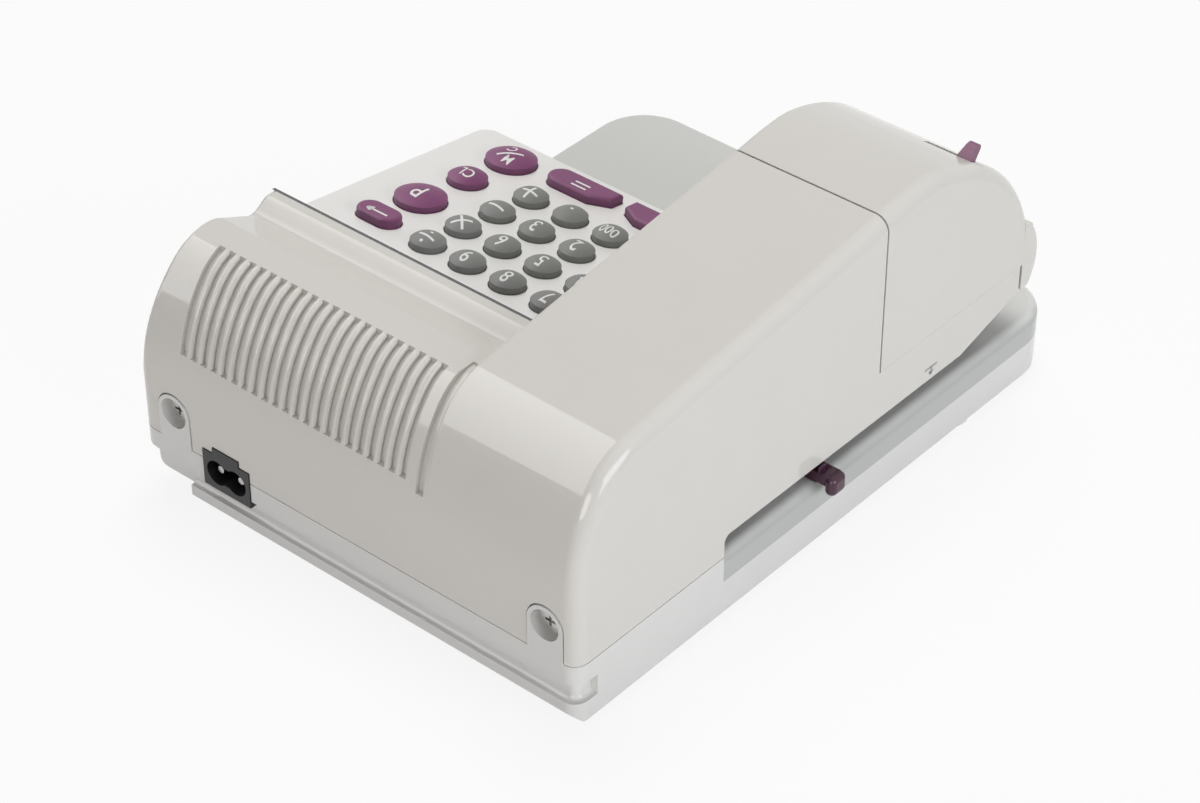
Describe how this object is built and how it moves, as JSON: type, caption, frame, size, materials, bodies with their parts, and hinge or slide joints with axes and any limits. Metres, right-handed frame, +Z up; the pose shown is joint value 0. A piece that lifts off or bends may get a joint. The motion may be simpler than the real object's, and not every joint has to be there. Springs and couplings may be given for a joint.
{
  "type": "electronic cheque writer",
  "caption": "Desktop electronic cheque writer with a sloped keypad and display, a print arm with lift-off cover, a cheque throat with sliding paper guide, and a rear mains inlet.",
  "frame": {"origin": "middle of the machine's box, at desk level under its feet", "axes": "+Z up, +Y towards the rear face with the vents and mains inlet, +X towards the keypad's outer side"},
  "size_m": [0.1838, 0.2374, 0.106],
  "materials": {
    "case_top": "warm off-white moulded plastic, satin gloss",
    "case_side": "off-white moulded plastic, satin gloss",
    "table_top": "pale grey moulded plastic, glossy",
    "panel_white": "white moulded plastic, satin",
    "key_grey": "mid-grey moulded plastic with printed legends",
    "key_purple": "plum moulded plastic, glossy",
    "guide_purple": "dark plum moulded plastic, glossy",
    "lever_purple": "plum moulded plastic, glossy",
    "lens_smoke": "smoked clear plastic",
    "lcd_grey": "grey-green liquid crystal panel",
    "foot_rubber": "black rubber",
    "mat_rubber": "grey rubber",
    "board_green": "green circuit board",
    "core_iron": "varnished iron core",
    "inlet_black": "black moulded plastic",
    "pin_brass": "plain brass",
    "screw_steel": "zinc-plated steel",
    "frame_steel": "plated sheet steel",
    "wheel_plastic": "dark engineering plastic",
    "gear_white": "natural nylon",
    "ink_foam": "inked foam"
  },
  "bodies": {
    "case": {"base_tray": "case_side", "rubber_feet": "foot_rubber", "table_plate": "table_top", "platen_pad": "foot_rubber", "upper_housing": "case_top", "throat_plate": "case_side", "keypad_panel": "panel_white", "key_mat": "mat_rubber", "keypad_board": "board_green", "keypad_screws": "screw_steel", "display_lens": "lens_smoke", "lcd_module": "lcd_grey", "main_board": "board_green", "transformer": "core_iron", "mains_inlet": "inlet_black", "inlet_pins": "pin_brass", "case_screws": "screw_steel", "print_frame": "frame_steel", "print_motor": "frame_steel", "feed_motor": "frame_steel", "bearing_blocks": "gear_white"},
    "cover": {"print_cover": "case_top"},
    "release": {"release_lever": "lever_purple"},
    "guide": {"paper_guide": "guide_purple"},
    "wheel": {"print_wheel": "wheel_plastic", "wheel_shaft": "screw_steel", "wheel_gear": "gear_white"},
    "print_drive": {"print_pinion": "pin_brass"},
    "ink": {"ink_roller": "ink_foam"},
    "pinch": {"pinch_roller": "mat_rubber"},
    "feed": {"feed_roller": "foot_rubber", "feed_shaft": "screw_steel", "feed_gear": "gear_white"},
    "feed_drive": {"feed_pinion": "pin_brass"},
    "key_7_body": {"key_7": "key_grey"},
    "key_8_body": {"key_8": "key_grey"},
    "key_9_body": {"key_9": "key_grey"},
    "key_divide_body": {"key_divide": "key_grey"},
    "key_4_body": {"key_4": "key_grey"},
    "key_5_body": {"key_5": "key_grey"},
    "key_6_body": {"key_6": "key_grey"},
    "key_multiply_body": {"key_multiply": "key_grey"},
    "key_1_body": {"key_1": "key_grey"},
    "key_2_body": {"key_2": "key_grey"},
    "key_3_body": {"key_3": "key_grey"},
    "key_minus_body": {"key_minus": "key_grey"},
    "key_0_body": {"key_0": "key_grey"},
    "key_triple_zero_body": {"key_triple_zero": "key_grey"},
    "key_point_body": {"key_point": "key_grey"},
    "key_plus_body": {"key_plus": "key_grey"},
    "key_print_body": {"key_print": "key_purple"},
    "key_clear_body": {"key_clear": "key_purple"},
    "key_memory_body": {"key_memory": "key_purple"},
    "key_backspace_body": {"key_backspace": "key_purple"},
    "key_total_body": {"key_total": "key_purple"},
    "key_equals_body": {"key_equals": "key_purple"}
  },
  "joints": [
    {"name": "cover_lift", "type": "slide", "parent": "case", "child": "cover", "axis": [0, 0, 1], "range_m": [0, 0.07]},
    {"name": "release_slide", "type": "slide", "parent": "cover", "child": "release", "axis": [1, 0, 0], "range_m": [0, 0.012]},
    {"name": "guide_slide", "type": "slide", "parent": "case", "child": "guide", "axis": [0, 1, 0], "range_m": [-0.02, 0.043]},
    {"name": "wheel_spin", "type": "hinge", "parent": "case", "child": "wheel", "pos_m": [-0.05655, -0.0467, 0.048], "axis": [0, 1, 0], "continuous": true},
    {"name": "print_pinion_spin", "type": "hinge", "parent": "case", "child": "print_drive", "pos_m": [-0.05655, -0.0372, 0.0705], "axis": [0, 1, 0], "continuous": true},
    {"name": "ink_spin", "type": "hinge", "parent": "case", "child": "ink", "pos_m": [-0.06936, -0.0467, 0.07546], "axis": [0, 1, 0], "continuous": true},
    {"name": "feed_spin", "type": "hinge", "parent": "case", "child": "feed", "pos_m": [-0.05655, -0.0657, 0.0151], "axis": [0, 1, 0], "continuous": true},
    {"name": "feed_pinion_spin", "type": "hinge", "parent": "case", "child": "feed_drive", "pos_m": [-0.04805, -0.0027, 0.0151], "axis": [0, 1, 0], "continuous": true},
    {"name": "pinch_spin", "type": "hinge", "parent": "case", "child": "pinch", "pos_m": [-0.05655, -0.0657, 0.0357], "axis": [0, 1, 0], "continuous": true},
    {"name": "key_7_press", "type": "slide", "parent": "case", "child": "key_7_body", "axis": [0, 0.1642, -0.9864], "range_m": [0, 0.0016], "stiffness_N_per_m": 450},
    {"name": "key_8_press", "type": "slide", "parent": "case", "child": "key_8_body", "axis": [0, 0.1642, -0.9864], "range_m": [0, 0.0016], "stiffness_N_per_m": 450},
    {"name": "key_9_press", "type": "slide", "parent": "case", "child": "key_9_body", "axis": [0, 0.1642, -0.9864], "range_m": [0, 0.0016], "stiffness_N_per_m": 450},
    {"name": "key_divide_press", "type": "slide", "parent": "case", "child": "key_divide_body", "axis": [0, 0.1642, -0.9864], "range_m": [0, 0.0016], "stiffness_N_per_m": 450},
    {"name": "key_4_press", "type": "slide", "parent": "case", "child": "key_4_body", "axis": [0, 0.1642, -0.9864], "range_m": [0, 0.0016], "stiffness_N_per_m": 450},
    {"name": "key_5_press", "type": "slide", "parent": "case", "child": "key_5_body", "axis": [0, 0.1642, -0.9864], "range_m": [0, 0.0016], "stiffness_N_per_m": 450},
    {"name": "key_6_press", "type": "slide", "parent": "case", "child": "key_6_body", "axis": [0, 0.1642, -0.9864], "range_m": [0, 0.0016], "stiffness_N_per_m": 450},
    {"name": "key_multiply_press", "type": "slide", "parent": "case", "child": "key_multiply_body", "axis": [0, 0.1642, -0.9864], "range_m": [0, 0.0016], "stiffness_N_per_m": 450},
    {"name": "key_1_press", "type": "slide", "parent": "case", "child": "key_1_body", "axis": [0, 0.1642, -0.9864], "range_m": [0, 0.0016], "stiffness_N_per_m": 450},
    {"name": "key_2_press", "type": "slide", "parent": "case", "child": "key_2_body", "axis": [0, 0.1642, -0.9864], "range_m": [0, 0.0016], "stiffness_N_per_m": 450},
    {"name": "key_3_press", "type": "slide", "parent": "case", "child": "key_3_body", "axis": [0, 0.1642, -0.9864], "range_m": [0, 0.0016], "stiffness_N_per_m": 450},
    {"name": "key_minus_press", "type": "slide", "parent": "case", "child": "key_minus_body", "axis": [0, 0.1642, -0.9864], "range_m": [0, 0.0016], "stiffness_N_per_m": 450},
    {"name": "key_0_press", "type": "slide", "parent": "case", "child": "key_0_body", "axis": [0, 0.1642, -0.9864], "range_m": [0, 0.0016], "stiffness_N_per_m": 450},
    {"name": "key_triple_zero_press", "type": "slide", "parent": "case", "child": "key_triple_zero_body", "axis": [0, 0.1642, -0.9864], "range_m": [0, 0.0016], "stiffness_N_per_m": 450},
    {"name": "key_point_press", "type": "slide", "parent": "case", "child": "key_point_body", "axis": [0, 0.1642, -0.9864], "range_m": [0, 0.0016], "stiffness_N_per_m": 450},
    {"name": "key_plus_press", "type": "slide", "parent": "case", "child": "key_plus_body", "axis": [0, 0.1642, -0.9864], "range_m": [0, 0.0016], "stiffness_N_per_m": 450},
    {"name": "key_print_press", "type": "slide", "parent": "case", "child": "key_print_body", "axis": [0, 0.1642, -0.9864], "range_m": [0, 0.0016], "stiffness_N_per_m": 450},
    {"name": "key_clear_press", "type": "slide", "parent": "case", "child": "key_clear_body", "axis": [0, 0.1642, -0.9864], "range_m": [0, 0.0016], "stiffness_N_per_m": 450},
    {"name": "key_memory_press", "type": "slide", "parent": "case", "child": "key_memory_body", "axis": [0, 0.1642, -0.9864], "range_m": [0, 0.0016], "stiffness_N_per_m": 450},
    {"name": "key_backspace_press", "type": "slide", "parent": "case", "child": "key_backspace_body", "axis": [0, 0.1642, -0.9864], "range_m": [0, 0.0016], "stiffness_N_per_m": 450},
    {"name": "key_total_press", "type": "slide", "parent": "case", "child": "key_total_body", "axis": [0, 0.1642, -0.9864], "range_m": [0, 0.0016], "stiffness_N_per_m": 450},
    {"name": "key_equals_press", "type": "slide", "parent": "case", "child": "key_equals_body", "axis": [0, 0.1642, -0.9864], "range_m": [0, 0.0016], "stiffness_N_per_m": 450}
  ],
  "couplings": [
    {"joint": "print_pinion_spin", "follows": "wheel_spin", "ratio": -2.5},
    {"joint": "ink_spin", "follows": "wheel_spin", "ratio": -2.75},
    {"joint": "feed_pinion_spin", "follows": "feed_spin", "ratio": -1.3333},
    {"joint": "pinch_spin", "follows": "feed_spin", "ratio": -0.8}
  ]
}
